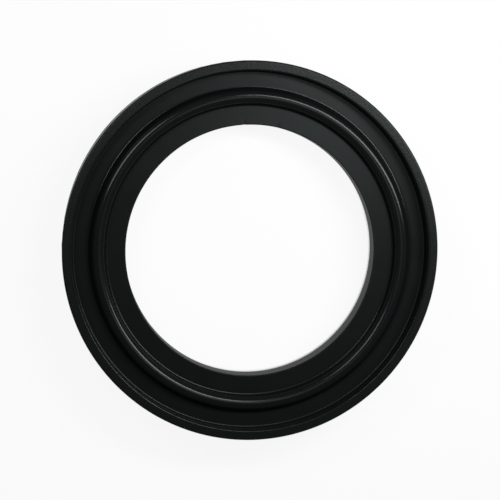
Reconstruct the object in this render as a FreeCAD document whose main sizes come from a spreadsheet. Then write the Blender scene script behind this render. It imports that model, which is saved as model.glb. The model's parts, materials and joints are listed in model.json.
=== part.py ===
# Sanitary clamp gasket: one moulded rubber ring that seals two clamped pipe ferrules.
#
# The ring is round about Z, with its bore's centre on the mid-plane at the origin.
# From the bore outwards each face has a flat inner band, a half-round bead that fills
# the groove of a ferrule, a flat web that the ferrule's face presses on, and a raised
# lip that holds the ferrule's rim. Both faces are alike. The mould leaves a fine
# parting ridge round the outer wall. All lengths are in millimetres.

import FreeCAD, Part
import math
import os

import Sketcher

# Driving sizes: name, value and what it is. Radial sizes build up from the bore.
SIZES = [
    ("bore_diameter", 35.6, "through bore, the inside of the pipe"),
    ("bore_to_bead", 3.95, "bore wall to the middle of the bead"),
    ("bead_to_rim", 3.5, "middle of the bead to the rim of the ferrule's flange"),
    ("rim_clearance", 0.05, "gap between the flange's rim and the lip, on the radius"),
    ("lip_width", 1.4, "lip's inner wall to its outer wall"),
    ("web_thickness", 3.0, "flat web, face to face"),
    ("bead_height", 1.35, "crest of the bead above the web"),
    ("bead_crest_radius", 1.2, "round crest of the bead"),
    ("bead_root_radius", 0.2, "fillet at each foot of the bead"),
    ("lip_height", 2.2, "top of the lip above the web"),
    ("lip_root_radius", 0.25, "fillet between the web and the lip"),
    ("lip_inner_edge_radius", 0.2, "round on the lip's inner edge"),
    ("lip_outer_edge_radius", 0.25, "round on the lip's outer edge"),
    ("bore_edge_radius", 0.12, "round on both edges of the bore"),
    ("parting_ridge_height", 0.08, "parting ridge, proud of the outer wall"),
    ("parting_ridge_width", 0.3, "parting ridge, along the outer wall"),
]

# Places that the section is built from, as formulas of the cells above.
BORE_RADIUS = "Sizes.bore_diameter / 2"
BEAD_RADIUS = BORE_RADIUS + " + Sizes.bore_to_bead"
LIP_INNER_RADIUS = BEAD_RADIUS + " + Sizes.bead_to_rim + Sizes.rim_clearance"
OUTER_RADIUS = LIP_INNER_RADIUS + " + Sizes.lip_width"
WEB_LEVEL = "Sizes.web_thickness / 2"
LIP_LEVEL = WEB_LEVEL + " + Sizes.lip_height"
CREST_CENTRE_LEVEL = WEB_LEVEL + " + Sizes.bead_height - Sizes.bead_crest_radius"

# Numbers that name the points of a line or an arc, and the axes of a sketch.
START = 1
END = 2
CENTRE = 3
HORIZONTAL_AXIS = -1
ORIGIN = (-1, START)


def make_sheet(doc):
    """Write the driving sizes to the sheet: name, value and note in each row."""
    sheet = doc.addObject("Spreadsheet::Sheet", "Sizes")
    for row, (name, value, note) in enumerate(SIZES, start=1):
        sheet.set("A%d" % row, name)
        sheet.set("B%d" % row, str(value))
        sheet.set("C%d" % row, note)
        sheet.setAlias("B%d" % row, name)
    doc.recompute()
    return sheet


def origin_plane(body, role):
    """Find one of the body's own origin planes by its role."""
    for feature in body.Origin.OriginFeatures:
        if feature.Role == role:
            return feature
    raise RuntimeError("the body has no plane " + role)


def new_sketch(body, name):
    """Start a sketch on the body's XZ plane: x is the radius and y is the level."""
    sketch = body.newObject("Sketcher::SketchObject", name)
    sketch.AttachmentSupport = (origin_plane(body, "XZ_Plane"), [""])
    sketch.MapMode = "FlatFace"
    return sketch


def add_line(sketch, start, end):
    """Draw a line between two (radius, level) points and return its number."""
    first = FreeCAD.Vector(start[0], start[1], 0)
    last = FreeCAD.Vector(end[0], end[1], 0)
    return sketch.addGeometry(Part.LineSegment(first, last), False)


def add_arc(sketch, centre, radius, start_angle, end_angle):
    """Draw an anticlockwise arc, with angles in radians, and return its number."""
    middle = FreeCAD.Vector(centre[0], centre[1], 0)
    circle = Part.Circle(middle, FreeCAD.Vector(0, 0, 1), radius)
    return sketch.addGeometry(Part.ArcOfCircle(circle, start_angle, end_angle), False)


def add_size(sketch, name, kind, geometry, formula):
    """Add a named dimension and bind it to the sheet."""
    index = sketch.addConstraint(Sketcher.Constraint(kind, *geometry))
    sketch.renameConstraint(index, name)
    sketch.setExpression("Constraints." + name, formula)


def radial_places(size):
    """Return the radii of the bore, the bead's middle, the lip's inner wall and the outer wall."""
    bore = size["bore_diameter"] / 2
    bead = bore + size["bore_to_bead"]
    lip_inner = bead + size["bead_to_rim"] + size["rim_clearance"]
    outer = lip_inner + size["lip_width"]
    return bore, bead, lip_inner, outer


def draw_half_section(sketch, size):
    """Draw the half of the ring's section above the mid-plane, fully constrained.

    The outline is drawn from the sizes in size, then tied to the sheet.
    """
    bore, bead, lip_inner, outer = radial_places(size)
    web = size["web_thickness"] / 2
    lip_top = web + size["lip_height"]
    crest = size["bead_crest_radius"]
    root = size["bead_root_radius"]
    lip_root = size["lip_root_radius"]
    inner_edge = size["lip_inner_edge_radius"]
    outer_edge = size["lip_outer_edge_radius"]
    bore_edge = size["bore_edge_radius"]

    # The crest arc and a root arc touch on the line between their centres.
    crest_rise = size["bead_height"] - crest
    rise = crest_rise - root
    spread = math.sqrt((crest + root) ** 2 - rise ** 2)
    lean = math.atan2(rise, spread)

    quarter = math.pi / 2
    half = math.pi
    bore_wall = add_line(sketch, (bore, 0), (bore, web - bore_edge))
    bore_round = add_arc(sketch, (bore + bore_edge, web - bore_edge), bore_edge, quarter, half)
    band = add_line(sketch, (bore + bore_edge, web), (bead - spread, web))
    inner_root = add_arc(sketch, (bead - spread, web + root), root, -quarter, lean)
    crest_arc = add_arc(sketch, (bead, web + crest_rise), crest, -lean, half + lean)
    outer_root = add_arc(sketch, (bead + spread, web + root), root, half - lean, half + quarter)
    web_face = add_line(sketch, (bead + spread, web), (lip_inner - lip_root, web))
    lip_fillet = add_arc(sketch, (lip_inner - lip_root, web + lip_root), lip_root, -quarter, 0)
    lip_wall = add_line(sketch, (lip_inner, web + lip_root), (lip_inner, lip_top - inner_edge))
    inner_round = add_arc(
        sketch, (lip_inner + inner_edge, lip_top - inner_edge), inner_edge, quarter, half)
    lip_face = add_line(sketch, (lip_inner + inner_edge, lip_top), (outer - outer_edge, lip_top))
    outer_round = add_arc(
        sketch, (outer - outer_edge, lip_top - outer_edge), outer_edge, 0, quarter)
    outer_wall = add_line(sketch, (outer, lip_top - outer_edge), (outer, 0))
    middle = add_line(sketch, (outer, 0), (bore, 0))

    # Lines and arcs run smoothly into one another, up to the mid-plane.
    smooth_joins = [
        (bore_wall, END, bore_round, END),
        (bore_round, START, band, START),
        (band, END, inner_root, START),
        (inner_root, END, crest_arc, END),
        (crest_arc, START, outer_root, START),
        (outer_root, END, web_face, START),
        (web_face, END, lip_fillet, START),
        (lip_fillet, END, lip_wall, START),
        (lip_wall, END, inner_round, END),
        (inner_round, START, lip_face, START),
        (lip_face, END, outer_round, END),
        (outer_round, START, outer_wall, START),
    ]
    for join in smooth_joins:
        sketch.addConstraint(Sketcher.Constraint("Tangent", *join))
    sketch.addConstraint(Sketcher.Constraint("Coincident", outer_wall, END, middle, START))
    sketch.addConstraint(Sketcher.Constraint("Coincident", middle, END, bore_wall, START))

    for line in (bore_wall, lip_wall, outer_wall):
        sketch.addConstraint(Sketcher.Constraint("Vertical", line))
    for line in (band, web_face, lip_face, middle):
        sketch.addConstraint(Sketcher.Constraint("Horizontal", line))
    sketch.addConstraint(Sketcher.Constraint("PointOnObject", middle, START, HORIZONTAL_AXIS))

    for name, point, value, formula in [
        ("bore_radius", (bore_wall, START), bore, BORE_RADIUS),
        ("bead_radius", (crest_arc, CENTRE), bead, BEAD_RADIUS),
        ("lip_inner_radius", (lip_wall, START), lip_inner, LIP_INNER_RADIUS),
        ("outer_radius", (outer_wall, START), outer, OUTER_RADIUS),
    ]:
        add_size(sketch, name, "DistanceX", ORIGIN + point + (value,), formula)
    for name, point, value, formula in [
        ("band_level", (band, START), web, WEB_LEVEL),
        ("web_level", (web_face, START), web, WEB_LEVEL),
        ("crest_centre_level", (crest_arc, CENTRE), web + crest_rise, CREST_CENTRE_LEVEL),
        ("lip_level", (lip_face, START), lip_top, LIP_LEVEL),
    ]:
        add_size(sketch, name, "DistanceY", ORIGIN + point + (value,), formula)
    for name, arc, value, cell in [
        ("bore_edge", bore_round, bore_edge, "bore_edge_radius"),
        ("inner_root", inner_root, root, "bead_root_radius"),
        ("crest", crest_arc, crest, "bead_crest_radius"),
        ("outer_root", outer_root, root, "bead_root_radius"),
        ("lip_root", lip_fillet, lip_root, "lip_root_radius"),
        ("lip_inner_edge", inner_round, inner_edge, "lip_inner_edge_radius"),
        ("lip_outer_edge", outer_round, outer_edge, "lip_outer_edge_radius"),
    ]:
        add_size(sketch, name, "Radius", (arc, value), "Sizes." + cell)


def draw_ridge(sketch, size):
    """Draw the parting ridge: a flat triangle that stands on the outer wall.

    Its foot is sunk by its own height, so that it joins the wall without a seam.
    """
    outer = radial_places(size)[-1]
    height = size["parting_ridge_height"]
    width = size["parting_ridge_width"]
    foot = outer - height
    tip = outer + height

    # The foot is as far below the wall as the tip is above it, so it is twice as wide.
    lower_flank = add_line(sketch, (foot, -width), (tip, 0))
    upper_flank = add_line(sketch, (tip, 0), (foot, width))
    back = add_line(sketch, (foot, width), (foot, -width))
    sketch.addConstraint(Sketcher.Constraint("Coincident", lower_flank, END, upper_flank, START))
    sketch.addConstraint(Sketcher.Constraint("Coincident", upper_flank, END, back, START))
    sketch.addConstraint(Sketcher.Constraint("Coincident", back, END, lower_flank, START))
    sketch.addConstraint(
        Sketcher.Constraint("PointOnObject", lower_flank, END, HORIZONTAL_AXIS))
    sketch.addConstraint(
        Sketcher.Constraint("Symmetric", back, START, back, END, HORIZONTAL_AXIS))
    add_size(sketch, "tip_radius", "DistanceX", ORIGIN + (lower_flank, END, tip),
             OUTER_RADIUS + " + Sizes.parting_ridge_height")
    add_size(sketch, "foot_radius", "DistanceX", ORIGIN + (back, START, foot),
             OUTER_RADIUS + " - Sizes.parting_ridge_height")
    add_size(sketch, "foot_width", "DistanceY", (back, END, back, START, 2 * width),
             "2 * Sizes.parting_ridge_width")


def revolve(body, sketch, name):
    """Turn a sketch a full circle about Z and add it to the body."""
    ring = body.newObject("PartDesign::Revolution", name)
    ring.Profile = sketch
    ring.ReferenceAxis = (sketch, ["V_Axis"])
    ring.Angle = 360
    return ring


def make_gasket(doc, size):
    """Build the ring: half section, its mirror image and the parting ridge."""
    body = doc.addObject("PartDesign::Body", "Gasket")
    body.Label = "gasket"

    section = new_sketch(body, "HalfSection")
    draw_half_section(section, size)
    upper_half = revolve(body, section, "UpperHalf")

    both_faces = body.newObject("PartDesign::Mirrored", "BothFaces")
    both_faces.Originals = [upper_half]
    both_faces.MirrorPlane = (origin_plane(body, "XY_Plane"), [""])
    body.Tip = both_faces

    ridge_outline = new_sketch(body, "RidgeOutline")
    draw_ridge(ridge_outline, size)
    revolve(body, ridge_outline, "PartingRidge")
    doc.recompute()

    for sketch in (section, ridge_outline):
        if not sketch.FullyConstrained:
            raise RuntimeError(sketch.Label + " is not fully constrained")
    half_volume = upper_half.Shape.Volume
    if abs(both_faces.Shape.Volume - 2 * half_volume) > 1e-6 * half_volume:
        raise RuntimeError("the mirrored face is missing")
    if body.Shape.Volume <= both_faces.Shape.Volume:
        raise RuntimeError("the parting ridge is missing")
    body.Placement = FreeCAD.Placement()
    return body


def check_document(doc, bodies):
    """Stop if any object failed or any sub-part has no valid shape."""
    for item in doc.Objects:
        if "Invalid" in item.State or "Error" in item.State:
            raise RuntimeError(item.Label + " failed to build")
    for body in bodies:
        if body.Shape.isNull() or not body.Shape.isValid():
            raise RuntimeError(body.Label + " has no valid shape")


def main():
    doc = FreeCAD.newDocument("clamp_gasket")
    sheet = make_sheet(doc)
    size = {name: float(sheet.get(name)) for name, value, note in SIZES}
    bodies = [make_gasket(doc, size)]
    doc.recompute()
    check_document(doc, bodies)

    os.makedirs("parts", exist_ok=True)
    for body in bodies:
        body.Shape.exportStep("parts/%s.step" % body.Label)
        box = body.Shape.optimalBoundingBox(False)
        print("%s: %.2f x %.2f x %.2f mm, %.0f mm3, %d solid" % (
            body.Label, box.XLength, box.YLength, box.ZLength,
            body.Shape.Volume, len(body.Shape.Solids)))
    flange = size["bore_diameter"] + 2 * (size["bore_to_bead"] + size["bead_to_rim"])
    print("fits a ferrule flange of %.1f mm" % flange)


main()
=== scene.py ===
# %% [markdown]
# Sanitary clamp gasket: the look of one moulded rubber ring
#
# A sanitary clamp joint squeezes a flat rubber ring between two steel ferrules. This file gives
# that ring its finish: the fine form that the mould leaves, the black rubber, and a plain pale
# studio. The ring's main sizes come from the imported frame, and it stays where the frame has it.

import json
import math

import bpy
from mathutils import Matrix, Vector


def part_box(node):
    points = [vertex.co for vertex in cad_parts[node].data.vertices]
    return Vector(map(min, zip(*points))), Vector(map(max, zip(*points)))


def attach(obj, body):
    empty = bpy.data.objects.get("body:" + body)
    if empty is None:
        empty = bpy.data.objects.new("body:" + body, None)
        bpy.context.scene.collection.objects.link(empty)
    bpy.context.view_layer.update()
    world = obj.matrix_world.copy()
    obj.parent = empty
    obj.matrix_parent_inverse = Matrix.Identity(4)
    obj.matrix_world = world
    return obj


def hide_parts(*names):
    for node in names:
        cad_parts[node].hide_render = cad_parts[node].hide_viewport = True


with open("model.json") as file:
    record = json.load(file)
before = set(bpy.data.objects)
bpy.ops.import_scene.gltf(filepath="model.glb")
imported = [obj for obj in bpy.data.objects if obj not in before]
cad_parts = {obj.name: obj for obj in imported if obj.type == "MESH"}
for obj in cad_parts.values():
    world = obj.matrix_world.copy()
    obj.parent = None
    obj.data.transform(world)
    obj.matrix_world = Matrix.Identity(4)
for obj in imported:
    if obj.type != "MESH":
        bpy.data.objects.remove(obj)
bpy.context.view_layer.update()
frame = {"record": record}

MM = 0.001


# %% [markdown]
# Sizes
#
# Lengths are named in millimetres, as on a drawing of the ring, and turned to metres where a mesh
# or a node is made. What the frame says is read from it: the bore, the wall round the flange's
# rim, the web's level and the tip of the parting ridge. The bead, the lip's height, the ridge's
# height and the small rounds aren't in the frame, so they are given here.

# %% Sizes
mounts = {mount["name"]: mount for mount in frame["record"]["mounts"]}
ring_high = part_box("gasket")[1]

BORE_RADIUS = mounts["bore"]["dims"]["r_mm"]
LIP_INNER_RADIUS = mounts["rim_socket_top"]["dims"]["r_mm"]
WEB_LEVEL = mounts["web_top"]["pos_m"][2] / MM
RIDGE_RADIUS = ring_high[0] / MM

BEAD_RADIUS = 21.75
BEAD_HEIGHT = 1.35
BEAD_CREST_RADIUS = 1.1
BEAD_ROOT_RADIUS = 0.3
LIP_HEIGHT = 2.2
LIP_ROOT_RADIUS = 0.25
LIP_INNER_EDGE_RADIUS = 0.2
LIP_OUTER_EDGE_RADIUS = 0.25
BORE_EDGE_RADIUS = 0.12
RIDGE_HEIGHT = 0.08
RIDGE_HALF_WIDTH = 0.15

BEAD_TOP = WEB_LEVEL + BEAD_HEIGHT
LIP_TOP = WEB_LEVEL + LIP_HEIGHT
OUTER_RADIUS = RIDGE_RADIUS - RIDGE_HEIGHT

print("bore %.2f, lip %.2f, outside %.2f mm in radius" % (BORE_RADIUS, LIP_INNER_RADIUS, OUTER_RADIUS))

# %% [markdown]
# The ring's section
#
# A revolved part is one outline carried round an axis. The outline has only lines and arcs, so it
# is written that way: each arc has a centre, a radius and two angles, and each line is what joins
# one arc to the next. Only the upper half is drawn. The lower half is its mirror image, because
# both faces of this gasket seal against the same kind of ferrule.

# %% Arcs and straight runs
def arc(centre, radius, start, end, steps):
    """Points (radius, level) on an arc, with angles in degrees."""
    points = []
    for step in range(steps + 1):
        angle = math.radians(start + (end - start) * step / steps)
        points.append((centre[0] + radius * math.cos(angle), centre[1] + radius * math.sin(angle)))
    return points


def with_runs(points, longest, hold):
    """Add points on the straight runs: one at hold from each end, and the rest evenly between."""
    filled = [points[0]]
    for start, end in zip(points, points[1:]):
        length = math.dist(start, end)
        shares = []
        if length > 4 * hold:
            pieces = math.ceil((length - 2 * hold) / longest)
            inner = 1 - 2 * hold / length
            shares = [hold / length + inner * piece / pieces for piece in range(pieces + 1)]
        for share in shares + [1]:
            filled.append(tuple(a + (b - a) * share for a, b in zip(start, end)))
    return filled


# %% Bead
# From the centre of the crest's arc to that of the root's arc, sideways and upwards.
BEAD_REACH = BEAD_CREST_RADIUS + BEAD_ROOT_RADIUS
BEAD_RISE = BEAD_TOP - BEAD_CREST_RADIUS - WEB_LEVEL - BEAD_ROOT_RADIUS
BEAD_SPREAD = math.sqrt(BEAD_REACH ** 2 - BEAD_RISE ** 2)

print("the bead is %.2f mm wide between its feet" % (2 * BEAD_SPREAD))

# %% Section outline
BORE_EDGE_STEPS = 4
ROOT_STEPS = 5
CREST_STEPS = 24
INNER_EDGE_STEPS = 5
OUTER_EDGE_STEPS = 6


def upper_outline():
    """The section above the mid-plane, from the bore's wall to the tip of the parting ridge."""
    crest_level = BEAD_TOP - BEAD_CREST_RADIUS
    root_level = WEB_LEVEL + BEAD_ROOT_RADIUS
    lean = math.degrees(math.atan2(BEAD_RISE, BEAD_SPREAD))

    points = [(BORE_RADIUS, 0)]
    points += arc((BORE_RADIUS + BORE_EDGE_RADIUS, WEB_LEVEL - BORE_EDGE_RADIUS),
                  BORE_EDGE_RADIUS, 180, 90, BORE_EDGE_STEPS)
    points += arc((BEAD_RADIUS - BEAD_SPREAD, root_level), BEAD_ROOT_RADIUS, -90, lean, ROOT_STEPS)
    points += arc((BEAD_RADIUS, crest_level), BEAD_CREST_RADIUS, 180 + lean, -lean, CREST_STEPS)[1:-1]
    points += arc((BEAD_RADIUS + BEAD_SPREAD, root_level),
                  BEAD_ROOT_RADIUS, 180 - lean, 270, ROOT_STEPS)
    points += arc((LIP_INNER_RADIUS - LIP_ROOT_RADIUS, WEB_LEVEL + LIP_ROOT_RADIUS),
                  LIP_ROOT_RADIUS, 270, 360, ROOT_STEPS)
    points += arc((LIP_INNER_RADIUS + LIP_INNER_EDGE_RADIUS, LIP_TOP - LIP_INNER_EDGE_RADIUS),
                  LIP_INNER_EDGE_RADIUS, 180, 90, INNER_EDGE_STEPS)
    points += arc((OUTER_RADIUS - LIP_OUTER_EDGE_RADIUS, LIP_TOP - LIP_OUTER_EDGE_RADIUS),
                  LIP_OUTER_EDGE_RADIUS, 90, 0, OUTER_EDGE_STEPS)
    points += [(OUTER_RADIUS, RIDGE_HALF_WIDTH), (RIDGE_RADIUS, 0)]
    return points


# A point held close to each end of a run keeps the smooth shading of a round off the flat beside it.
LONGEST_RUN = 1.0
HOLD = 0.04

upper = with_runs(upper_outline(), LONGEST_RUN, HOLD)
lower = [(radius, -level) for radius, level in reversed(upper[1:-1])]
outline = upper + lower
print("the section has", len(outline), "points")

# %% Section curve
def closed_curve(name, points):
    """A closed curve of straight edges through (x, y) points in millimetres."""
    curve = bpy.data.curves.new(name, "CURVE")
    curve.dimensions = "2D"
    spline = curve.splines.new("POLY")
    spline.points.add(len(points) - 1)
    for point, (x, y) in zip(spline.points, points):
        point.co = (x * MM, y * MM, 0, 1)
    spline.use_cyclic_u = True
    return bpy.data.objects.new(name, curve)


section = closed_curve("gasket_section", [(radius - BEAD_RADIUS, level) for radius, level in outline])
print("the section is drawn about the bead's crest, %.2f mm from the axis" % BEAD_RADIUS)

# %% [markdown]
# Flash and small scars
#
# Where rubber creeps between the halves of the mould it leaves flash, and where the flash is torn
# off it leaves a nub. The photograph shows a nub and a step on the bore's upper edge, a scar on
# the outer wall and a grain of dirt that was caught in the web. Each is one vertex of a small
# mesh, and the tree below swells the rubber around it. Placed by its angle on the ring, a scar is
# easy to find again in the photograph, and easy to move.

# %% Scar places
# Each scar's name, its angle in degrees, and its radius and level in millimetres.
SCARS = [
    ("bore nub", 77.5, BORE_RADIUS, WEB_LEVEL - 0.2),
    ("bore step", 93.0, BORE_RADIUS, WEB_LEVEL - 0.2),
    ("wall scar", 149.5, OUTER_RADIUS, LIP_TOP - 0.7),
    ("web grain", 252.0, LIP_INNER_RADIUS - 0.75, WEB_LEVEL),
]


def loose_points(name, places):
    """A mesh of loose vertices, one for each named place."""
    corners = []
    for _, angle, radius, level in places:
        turn = math.radians(angle)
        corners.append((radius * math.cos(turn) * MM, radius * math.sin(turn) * MM, level * MM))
    mesh = bpy.data.meshes.new(name)
    mesh.from_pydata(corners, [], [])
    return bpy.data.objects.new(name, mesh)


scars = loose_points("gasket_scars", SCARS)
print("scars:", ", ".join(scar[0] for scar in SCARS))

# %% [markdown]
# Revolving the section with Geometry Nodes
#
# Curve to Mesh carries the section round a circle at the bead's radius. A real ring of soft rubber
# is never that exact, and small steps in the tree say how it differs. The ring lies a little out
# of round, a slow noise makes the highlight waver along the bead, the scars stand out, and the
# parting ridge is ragged. In a tree each of these is one named input, so it can be changed or
# left out on its own.

# %% Node helpers
def add_node(tree, kind, settings=None, **links):
    """Add a node, set its properties, and give each named input, or _number, a value or a link."""
    node = tree.nodes.new(kind)
    for key, value in (settings or {}).items():
        setattr(node, key, value)
    for key, value in links.items():
        socket = node.inputs[int(key[1:])] if key[1:].isdigit() else node.inputs[key.replace("_", " ")]
        if isinstance(value, bpy.types.NodeSocket):
            tree.links.new(value, socket)
        else:
            socket.default_value = value
    return node


def new_inputs(tree, inputs):
    """Add the named inputs of a node group and one geometry output."""
    for name, kind in inputs.items():
        tree.interface.new_socket(name=name, in_out="INPUT", socket_type="NodeSocket" + kind)
    tree.interface.new_socket(name="Geometry", in_out="OUTPUT", socket_type="NodeSocketGeometry")


# %% Slow waves
# A noise seldom leaves the middle of its range, so that part of it is spread over the whole step.
WAVE_RANGE = (0.2, 0.8)


def slow_waves(tree, given, place):
    """How far slow waves move the surface, towards the inside only."""
    wave_scale = add_node(tree, "ShaderNodeMath", {"operation": "DIVIDE"},
                          _0=1.0, _1=given["Uneven length"])
    wave = add_node(tree, "ShaderNodeTexNoise", {"noise_dimensions": "4D"},
                    Vector=place, W=given["Seed"], Scale=wave_scale.outputs[0], Detail=2.0)
    depth = add_node(tree, "ShaderNodeMapRange", Value=wave.outputs[0],
                     From_Min=WAVE_RANGE[0], From_Max=WAVE_RANGE[1], To_Min=-1.0, To_Max=0.0)
    sunk = add_node(tree, "ShaderNodeMath", {"operation": "MULTIPLY"},
                    _0=depth.outputs[0], _1=given["Unevenness"])
    return sunk.outputs[0]


# %% Swellings
def swellings(tree, given):
    """How far the scars raise the surface: full at a scar and gone at its reach."""
    marks = add_node(tree, "GeometryNodeObjectInfo", Object=given["Scars"])
    near = add_node(tree, "GeometryNodeProximity", {"target_element": "POINTS"},
                    _0=marks.outputs["Geometry"])
    swell = add_node(tree, "ShaderNodeMapRange", {"interpolation_type": "SMOOTHSTEP"},
                     Value=near.outputs["Distance"], From_Min=given["Scar reach"], From_Max=0.0,
                     To_Max=given["Scar height"])
    return swell.outputs[0]


# %% Torn ridge
TEAR_RANGE = (0.35, 0.65)


def torn_ridge(tree, given, place, radius, outward):
    """The step inwards where the parting ridge has lost part of its height."""
    ridge_scale = add_node(tree, "ShaderNodeMath", {"operation": "DIVIDE"},
                           _0=1.0, _1=given["Ridge length"])
    tear = add_node(tree, "ShaderNodeTexNoise", {"noise_dimensions": "4D"},
                    Vector=place, W=given["Seed"], Scale=ridge_scale.outputs[0], Detail=3.0)
    on_ridge = add_node(tree, "FunctionNodeCompare", _0=radius, _1=given["Ridge start"])
    lost = add_node(tree, "ShaderNodeMapRange", Value=tear.outputs[0],
                    From_Min=TEAR_RANGE[0], From_Max=TEAR_RANGE[1], To_Max=given["Ridge loss"])
    loss = add_node(tree, "ShaderNodeMath", {"operation": "MULTIPLY"},
                    _0=lost.outputs[0], _1=on_ridge.outputs[0])
    inward = add_node(tree, "ShaderNodeMath", {"operation": "MULTIPLY"}, _0=loss.outputs[0], _1=-1.0)
    torn = add_node(tree, "ShaderNodeVectorMath", {"operation": "SCALE"},
                    _0=outward, Scale=inward.outputs[0])
    return torn.outputs[0]


# %% Revolving tree
def revolve_tree():
    """A tree that revolves a section, makes it as uneven as soft rubber and gives it its material."""
    tree = bpy.data.node_groups.new("Revolve moulded section", "GeometryNodeTree")
    new_inputs(tree, {
        "Section": "Object", "Scars": "Object", "Ring radius": "Float", "Segments": "Int",
        "Out of round": "Vector", "Unevenness": "Float", "Uneven length": "Float",
        "Ridge start": "Float", "Ridge loss": "Float", "Ridge length": "Float",
        "Scar height": "Float", "Scar reach": "Float", "Seed": "Float", "Material": "Material"})
    given = add_node(tree, "NodeGroupInput").outputs

    path = add_node(tree, "GeometryNodeCurvePrimitiveCircle", {"mode": "RADIUS"},
                    Resolution=given["Segments"], Radius=given["Ring radius"])
    profile = add_node(tree, "GeometryNodeObjectInfo", Object=given["Section"])
    ring = add_node(tree, "GeometryNodeCurveToMesh",
                    Curve=path.outputs["Curve"], Profile_Curve=profile.outputs["Geometry"])

    place = add_node(tree, "GeometryNodeInputPosition").outputs[0]
    normal = add_node(tree, "GeometryNodeInputNormal").outputs[0]
    flat = add_node(tree, "ShaderNodeVectorMath", {"operation": "MULTIPLY"}, _0=place, _1=(1, 1, 0))
    radius = add_node(tree, "ShaderNodeVectorMath", {"operation": "LENGTH"}, _0=flat.outputs[0])
    outward = add_node(tree, "ShaderNodeVectorMath", {"operation": "NORMALIZE"}, _0=flat.outputs[0])

    raised = add_node(tree, "ShaderNodeMath", {"operation": "ADD"},
                      _0=slow_waves(tree, given, place), _1=swellings(tree, given))
    along_normal = add_node(tree, "ShaderNodeVectorMath", {"operation": "SCALE"},
                            _0=normal, Scale=raised.outputs[0])
    torn = torn_ridge(tree, given, place, radius.outputs["Value"], outward.outputs[0])

    # Out of round first, then the two smaller steps.
    total = add_node(tree, "ShaderNodeVectorMath", {"operation": "MULTIPLY"},
                     _0=place, _1=given["Out of round"])
    for step in (along_normal.outputs[0], torn):
        total = add_node(tree, "ShaderNodeVectorMath", _0=total.outputs[0], _1=step)
    moved = add_node(tree, "GeometryNodeSetPosition", Geometry=ring.outputs[0],
                     Position=total.outputs[0])

    smooth = add_node(tree, "GeometryNodeSetShadeSmooth", Geometry=moved.outputs[0])
    real = add_node(tree, "GeometryNodeRealizeInstances", Geometry=smooth.outputs[0])
    coated = add_node(tree, "GeometryNodeSetMaterial", Geometry=real.outputs[0],
                      Material=given["Material"])
    add_node(tree, "NodeGroupOutput", Geometry=coated.outputs[0])
    return tree


moulded_ring_tree = revolve_tree()
print("the revolving tree has", len(moulded_ring_tree.nodes), "nodes")

# %% [markdown]
# Black EPDM rubber, compression moulded
#
# The ring is EPDM filled with carbon black, pressed in a steel mould. Carbon black takes nearly all
# the light, so the eye sees little but gloss, and the gloss follows the mould. It is a soft sheen
# where the mould was turned, a bright line along the bead and the lip's inner edge, where it was
# polished, a duller grain on the lip's top, where it was blasted, and dullest on the bore's wall.
# It is all one piece of rubber, so it is all one material. Each zone is found from Object
# coordinates, by its radius and its level, and needs neither seams nor a UV map.

# %% Colour
def linear(hex_colour):
    """Turn an sRGB hex value into linear RGB with alpha."""
    channels = []
    for start in (1, 3, 5):
        value = int(hex_colour[start:start + 2], 16) / 255
        channels.append(value / 12.92 if value <= 0.04045 else ((value + 0.055) / 1.055) ** 2.4)
    return (*channels, 1.0)


# %% Rubber patterns
# Carbon black is never mixed in quite evenly, which leaves faint clouds some millimetres long.
RUBBER_DARK = "#101111"
RUBBER_PALE = "#131415"
CLOUD_LENGTH = 3.5
CLOUD_RANGE = (0.3, 0.7)

# A mould is turned at about 0.05 mm a turn and blasted with grit of about 0.1 mm. Both are too
# fine to show at this size, so the turning marks and the grain are drawn coarser.
TURNING_PITCH = 0.12
TURNING_DEPTH = 0.0003
GRAIN_SIZE = 0.25
FLAT_GRAIN_DEPTH = 0.0008
LIP_GRAIN_DEPTH = 0.03

# %% Lip's finish
# Each zone of finish fades in between two lengths: there is none of it at the first, and it is
# full at the second.
LIP_LEVELS = (WEB_LEVEL + 0.6, LIP_TOP - 0.1)
BLASTED_RADII = (LIP_INNER_RADIUS + 0.15, LIP_INNER_RADIUS + 0.35)


def lip_finish(tree, radius, height):
    """Where the lip is blasted, and where it is polished: its upper part, and its inner edge."""
    high = add_node(tree, "ShaderNodeMapRange", Value=height,
                    From_Min=LIP_LEVELS[0] * MM, From_Max=LIP_LEVELS[1] * MM)
    wide = add_node(tree, "ShaderNodeMapRange", Value=radius,
                    From_Min=BLASTED_RADII[0] * MM, From_Max=BLASTED_RADII[1] * MM)
    blasted = add_node(tree, "ShaderNodeMath", {"operation": "MULTIPLY"},
                       _0=high.outputs[0], _1=wide.outputs[0])
    lip_edge = add_node(tree, "ShaderNodeMath", {"operation": "SUBTRACT"},
                        _0=high.outputs[0], _1=blasted.outputs[0])
    return blasted.outputs[0], lip_edge.outputs[0]


# %% Gloss
SATIN_ROUGHNESS = (0.28, 0.32)
BLASTED_ROUGHNESS = 0.36
POLISHED_ROUGHNESS = 0.18
BORE_WALL_ROUGHNESS = 0.45

BEAD_DISTANCES = (BEAD_SPREAD + 0.3, BEAD_SPREAD - 0.1)
BORE_WALL_RADII = (BORE_RADIUS + 0.12, BORE_RADIUS + 0.08)


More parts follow.
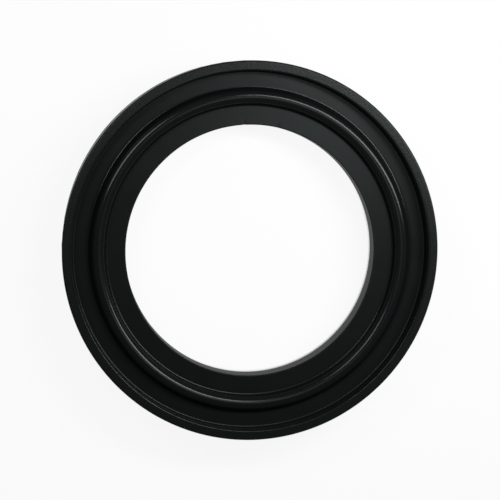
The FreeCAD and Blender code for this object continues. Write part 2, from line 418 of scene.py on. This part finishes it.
def gloss_of_zones(tree, radius, cloud, blasted, lip_edge):
    """Roughness of the satin flats, the blasted lip, the polished bead and lip edge, and the bore."""
    satin = add_node(tree, "ShaderNodeMapRange", Value=cloud,
                     From_Min=CLOUD_RANGE[0], From_Max=CLOUD_RANGE[1],
                     To_Min=SATIN_ROUGHNESS[0], To_Max=SATIN_ROUGHNESS[1])
    flats = add_node(tree, "ShaderNodeMix", Factor=blasted, _2=satin.outputs[0], _3=BLASTED_ROUGHNESS)

    off_crest = add_node(tree, "ShaderNodeMath", {"operation": "SUBTRACT"},
                         _0=radius, _1=BEAD_RADIUS * MM)
    from_crest = add_node(tree, "ShaderNodeMath", {"operation": "ABSOLUTE"}, _0=off_crest.outputs[0])
    bead = add_node(tree, "ShaderNodeMapRange", Value=from_crest.outputs[0],
                    From_Min=BEAD_DISTANCES[0] * MM, From_Max=BEAD_DISTANCES[1] * MM)
    shine = add_node(tree, "ShaderNodeMath", {"operation": "MAXIMUM"},
                     _0=bead.outputs[0], _1=lip_edge)
    polished = add_node(tree, "ShaderNodeMix", Factor=shine.outputs[0],
                        _2=flats.outputs[0], _3=POLISHED_ROUGHNESS)

    wall = add_node(tree, "ShaderNodeMapRange", Value=radius,
                    From_Min=BORE_WALL_RADII[0] * MM, From_Max=BORE_WALL_RADII[1] * MM)
    gloss = add_node(tree, "ShaderNodeMix", Factor=wall.outputs[0],
                     _2=polished.outputs[0], _3=BORE_WALL_ROUGHNESS)
    return gloss.outputs[0]


# %% Relief
def fine_relief(tree, place, radius, blasted):
    """Height of the grain, deepest where the mould was blasted, and of the rings of its turning."""
    grain = add_node(tree, "ShaderNodeTexNoise", Vector=place, Scale=1 / (GRAIN_SIZE * MM), Detail=2.0)
    grain_depth = add_node(tree, "ShaderNodeMapRange", Value=blasted,
                           To_Min=FLAT_GRAIN_DEPTH * MM, To_Max=LIP_GRAIN_DEPTH * MM)
    grain_height = add_node(tree, "ShaderNodeMath", {"operation": "MULTIPLY"},
                            _0=grain.outputs[0], _1=grain_depth.outputs[0])
    turning = add_node(tree, "ShaderNodeTexNoise", {"noise_dimensions": "1D"},
                       W=radius, Scale=1 / (TURNING_PITCH * MM), Detail=1.0)
    turning_height = add_node(tree, "ShaderNodeMath", {"operation": "MULTIPLY"},
                              _0=turning.outputs[0], _1=TURNING_DEPTH * MM)
    relief = add_node(tree, "ShaderNodeMath", {"operation": "ADD"},
                      _0=grain_height.outputs[0], _1=turning_height.outputs[0])
    return relief.outputs[0]


# %% Rubber
# The rubber reflects less than a clean, smooth surface of its IOR would, and its reflections are a
# trace cooler than the lamps.
RUBBER_IOR = 1.5
SPECULAR_LEVEL = 0.22
SPECULAR_TINT = "#f2fffc"


def moulded_epdm():
    """Moulded EPDM rubber: near-black, satin on the flats, polished bead, grainy lip, dull bore."""
    material = bpy.data.materials.new("moulded_epdm_rubber")
    material.use_nodes = True
    tree = material.node_tree
    tree.nodes.clear()
    place = add_node(tree, "ShaderNodeTexCoord").outputs["Object"]
    parts = add_node(tree, "ShaderNodeSeparateXYZ", _0=place).outputs
    flat = add_node(tree, "ShaderNodeVectorMath", {"operation": "MULTIPLY"}, _0=place, _1=(1, 1, 0))
    distance = add_node(tree, "ShaderNodeVectorMath", {"operation": "LENGTH"}, _0=flat.outputs[0])
    radius = distance.outputs["Value"]
    height = add_node(tree, "ShaderNodeMath", {"operation": "ABSOLUTE"}, _0=parts["Z"])
    blasted, lip_edge = lip_finish(tree, radius, height.outputs[0])

    cloud = add_node(tree, "ShaderNodeTexNoise", Vector=place, Scale=1 / (CLOUD_LENGTH * MM), Detail=4.0)
    colour = add_node(tree, "ShaderNodeMix", {"data_type": "RGBA"}, Factor=cloud.outputs[0],
                      _6=linear(RUBBER_DARK), _7=linear(RUBBER_PALE))
    gloss = gloss_of_zones(tree, radius, cloud.outputs[0], blasted, lip_edge)
    bump = add_node(tree, "ShaderNodeBump", Strength=1.0, Distance=1.0,
                    Height=fine_relief(tree, place, radius, blasted))

    rubber = add_node(tree, "ShaderNodeBsdfPrincipled", Base_Color=colour.outputs[2],
                      Roughness=gloss, IOR=RUBBER_IOR, Normal=bump.outputs[0],
                      Specular_IOR_Level=SPECULAR_LEVEL, Specular_Tint=linear(SPECULAR_TINT))
    add_node(tree, "ShaderNodeOutputMaterial", Surface=rubber.outputs[0])
    return material


rubber = moulded_epdm()
print("material:", rubber.name)

# %% [markdown]
# Making the ring
#
# The tree runs once, on an empty mesh, and its result is kept as a plain mesh, so that the ring
# needs no modifier from here on. All of its lengths are given in one place. The ring in the
# photograph is out of round by half a percent each way, and is longer up and down. The waves and
# the scars are as slight as such rubber has them, and the ridge is torn every millimetre or two.

# %% Ring values
SEGMENTS = 576
OUT_OF_ROUND = 0.0048
WAVE_DEPTH = 0.012
WAVE_LENGTH = 5.0
TEAR_LENGTH = 1.5
SCAR_HEIGHT = 0.1
SCAR_REACH = 0.4
SEED = 3.0

# %% Ring
def keep_mesh(name, tree, values):
    """Run a tree on an empty mesh and keep the result as a plain mesh object."""
    carrier = bpy.data.objects.new(name + "_carrier", bpy.data.meshes.new(name + "_carrier"))
    bpy.context.scene.collection.objects.link(carrier)
    modifier = carrier.modifiers.new("Nodes", "NODES")
    modifier.node_group = tree
    for item in tree.interface.items_tree:
        if item.in_out == "INPUT":
            modifier[item.identifier] = values[item.name]
    ready = carrier.evaluated_get(bpy.context.evaluated_depsgraph_get())
    mesh = bpy.data.meshes.new_from_object(ready)
    mesh.name = name
    carrier.modifiers.clear()
    bpy.data.objects.remove(carrier)
    piece = bpy.data.objects.new(name, mesh)
    bpy.context.scene.collection.objects.link(piece)
    return piece


gasket_ring = keep_mesh("gasket_ring", moulded_ring_tree, {
    "Section": section,
    "Scars": scars,
    "Ring radius": BEAD_RADIUS * MM,
    "Segments": SEGMENTS,
    "Out of round": (1 - OUT_OF_ROUND, 1 + OUT_OF_ROUND, 1),
    "Unevenness": WAVE_DEPTH * MM,
    "Uneven length": WAVE_LENGTH * MM,
    "Ridge start": (OUTER_RADIUS + RIDGE_HEIGHT / 2) * MM,
    "Ridge loss": RIDGE_HEIGHT * MM,
    "Ridge length": TEAR_LENGTH * MM,
    "Scar height": SCAR_HEIGHT * MM,
    "Scar reach": SCAR_REACH * MM,
    "Seed": SEED,
    "Material": rubber,
})
triangles = sum(len(face.vertices) - 2 for face in gasket_ring.data.polygons)
print("gasket_ring has", triangles, "triangles")

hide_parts("gasket")
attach(gasket_ring, "root")

# %% [markdown]
# Studio board
#
# The ring lies on a plain white board. The board is made to read as white to the camera and in
# reflections, but it throws only as much light on the rubber as plain card does, so that the
# rubber stays as black as it is. It keeps a faint shadow. Close under the ring its glow is turned
# down with painted shade from ambient occlusion, so the strip of board that shows through the
# bore, along the foot of its wall, is dark.

# %% Board
BOARD_SIZE = 2000
BOARD_COLOUR = "#e6e6e6"
SEEN_BOARD_COLOUR = "#5a5a5a"
GLOW_IN_REFLECTIONS = 0.6
GLOW_TO_CAMERA = 0.9

# The board's glow is turned down with painted shade where things nearer than this reach cover its
# sky: it is out at the first open share, and full at the second.
SHADE_REACH = 8
SHADE_RANGE = (0.36, 0.42)
SHADE_SAMPLES = 64

ring_bottom = min(corner.co.z for corner in gasket_ring.data.vertices)
half = BOARD_SIZE / 2 * MM
floor_mesh = bpy.data.meshes.new("floor")
floor_mesh.from_pydata([(-half, -half, ring_bottom), (half, -half, ring_bottom),
                        (half, half, ring_bottom), (-half, half, ring_bottom)], [], [(0, 1, 2, 3)])
floor = bpy.data.objects.new("floor", floor_mesh)
bpy.context.scene.collection.objects.link(floor)
print("the board lies at %.2f mm" % (ring_bottom / MM))

# %% Board finish
def white_board():
    """Matt white board that reads as white to the camera, takes a shadow, and has painted shade close
    under the ring.
    """
    material = bpy.data.materials.new("white_board")
    material.use_nodes = True
    tree = material.node_tree
    tree.nodes.clear()
    rays = add_node(tree, "ShaderNodeLightPath").outputs
    seen = add_node(tree, "ShaderNodeMath", {"operation": "MAXIMUM"},
                    _0=rays["Is Camera Ray"], _1=rays["Is Glossy Ray"])
    shown = add_node(tree, "ShaderNodeMath", {"operation": "MAXIMUM"},
                     _0=seen.outputs[0], _1=rays["Is Transmission Ray"])
    board = add_node(tree, "ShaderNodeBsdfDiffuse", Color=linear(BOARD_COLOUR))
    pale = add_node(tree, "ShaderNodeBsdfDiffuse", Color=linear(SEEN_BOARD_COLOUR))
    white = add_node(tree, "ShaderNodeMapRange", Value=rays["Is Camera Ray"],
                     To_Min=GLOW_IN_REFLECTIONS, To_Max=GLOW_TO_CAMERA)
    open_sky = add_node(tree, "ShaderNodeAmbientOcclusion", {"samples": SHADE_SAMPLES},
                        Distance=SHADE_REACH * MM)
    # Painted shade: where the ring covers most of the board's sky, the glow is turned down.
    painted_shade = add_node(tree, "ShaderNodeMapRange", Value=open_sky.outputs["AO"],
                   From_Min=SHADE_RANGE[0], From_Max=SHADE_RANGE[1])
    level = add_node(tree, "ShaderNodeMath", {"operation": "MULTIPLY"},
                     _0=white.outputs[0], _1=painted_shade.outputs[0])
    glow = add_node(tree, "ShaderNodeEmission", Color=(1, 1, 1, 1), Strength=level.outputs[0])
    both = add_node(tree, "ShaderNodeAddShader", _0=pale.outputs[0], _1=glow.outputs[0])
    mix = add_node(tree, "ShaderNodeMixShader", _0=shown.outputs[0], _1=board.outputs[0],
                   _2=both.outputs[0])
    add_node(tree, "ShaderNodeOutputMaterial", Surface=mix.outputs[0])
    return material


floor_mesh.materials.append(white_board())

# %% [markdown]
# Room and panels
#
# Black rubber shows its surroundings rather than its own colour, so the size and the place of each
# soft panel decide where the light lies on it. A long key panel over the upper right lights the
# web there and gives the bead its main light. A shorter one over the upper left gives the bead its
# second light. A faint one low beside that lights the outer wall, and a faint one nearly overhead
# lifts the web. The camera sees the room as white, but to the rubber the room is dim.

# %% Room
ROOM_LIGHT = 0.11


def set_room(strength):
    """A dim room that the camera sees as white."""
    world = bpy.data.worlds.new("studio")
    world.use_nodes = True
    tree = world.node_tree
    tree.nodes.clear()
    rays = add_node(tree, "ShaderNodeLightPath").outputs
    level = add_node(tree, "ShaderNodeMapRange", Value=rays["Is Camera Ray"], To_Min=strength, To_Max=1.0)
    room = add_node(tree, "ShaderNodeBackground", Color=(1, 1, 1, 1), Strength=level.outputs[0])
    add_node(tree, "ShaderNodeOutputWorld", Surface=room.outputs[0])
    bpy.context.scene.world = world


set_room(ROOM_LIGHT)

# %% Panels
# Each panel's name, its place in millimetres, the azimuth of its long side in degrees, its length
# and width in millimetres, and its power in watts.
PANELS = [
    ("key", (54, 35, 80), 168, 110, 22, 0.08),
    ("left", (-48, 38, 80), 25, 50, 20, 0.02),
    ("low_left", (-106, 106, 70), 45, 50, 50, 0.0035),
    ("top", (17, 9, 80), 0, 36, 36, 0.0045),
]


def add_panel(name, place, along, length, width, power):
    """A soft oval panel that faces the ring, with its long side along an azimuth."""
    lamp = bpy.data.lights.new(name, "AREA")
    lamp.shape = "ELLIPSE"
    lamp.size = length * MM
    lamp.size_y = width * MM
    lamp.energy = power
    back = Vector(place).normalized()
    azimuth = Vector((math.cos(math.radians(along)), math.sin(math.radians(along)), 0))
    side = azimuth.cross(back).cross(back).normalized() * -1
    turned = Matrix((side, back.cross(side), back)).transposed().to_4x4()
    panel = bpy.data.objects.new(name, lamp)
    panel.matrix_world = Matrix.Translation(Vector(place) * MM) @ turned
    bpy.context.scene.collection.objects.link(panel)


for panel_values in PANELS:
    add_panel(*panel_values)
print("panels:", ", ".join(panel_values[0] for panel_values in PANELS))

# %% [markdown]
# Camera
#
# The photograph looks almost straight down on the ring, from its upper left. Its tilt is read
# from the strips of wall that show: the bore's wall at the lower right and the outer wall at the
# upper left. The camera is placed by tilt, azimuth and distance, and its lens follows from the
# size of a pixel, so that the ring keeps its size in the picture when the distance is changed.

# %% Camera
IMAGE_WIDTH = 500
RING_CENTRE = (249.55, 250.1)
CAMERA_TILT = 9.2
CAMERA_AZIMUTH = 136.6
CAMERA_DISTANCE = 210.0
MM_PER_PIXEL = 0.1428
SENSOR = 36.0
NEAREST_SEEN = 10


def aim_camera():
    """Place the camera by its tilt and azimuth, with +Y up in the picture."""
    data = bpy.data.cameras.new("camera")
    data.sensor_width = SENSOR
    data.lens = CAMERA_DISTANCE / MM_PER_PIXEL * SENSOR / IMAGE_WIDTH
    data.shift_x = (IMAGE_WIDTH / 2 - RING_CENTRE[0]) / IMAGE_WIDTH
    data.shift_y = (RING_CENTRE[1] - IMAGE_WIDTH / 2) / IMAGE_WIDTH
    data.clip_start = NEAREST_SEEN * MM
    camera = bpy.data.objects.new("camera", data)
    tilt = math.radians(CAMERA_TILT)
    turn = math.radians(CAMERA_AZIMUTH)
    back = Vector((math.sin(tilt) * math.cos(turn), math.sin(tilt) * math.sin(turn), math.cos(tilt)))
    right = Vector((0, 1, 0)).cross(back).normalized()
    up = back.cross(right)
    spin = Matrix((right, up, back)).transposed().to_4x4()
    camera.matrix_world = Matrix.Translation(back * CAMERA_DISTANCE * MM) @ spin
    bpy.context.scene.collection.objects.link(camera)
    bpy.context.scene.camera = camera
    return camera


camera = aim_camera()
print("the lens is %.0f mm, and the ring is %.0f mm away" % (camera.data.lens, CAMERA_DISTANCE))
bpy.context.scene.view_settings.view_transform = "Standard"
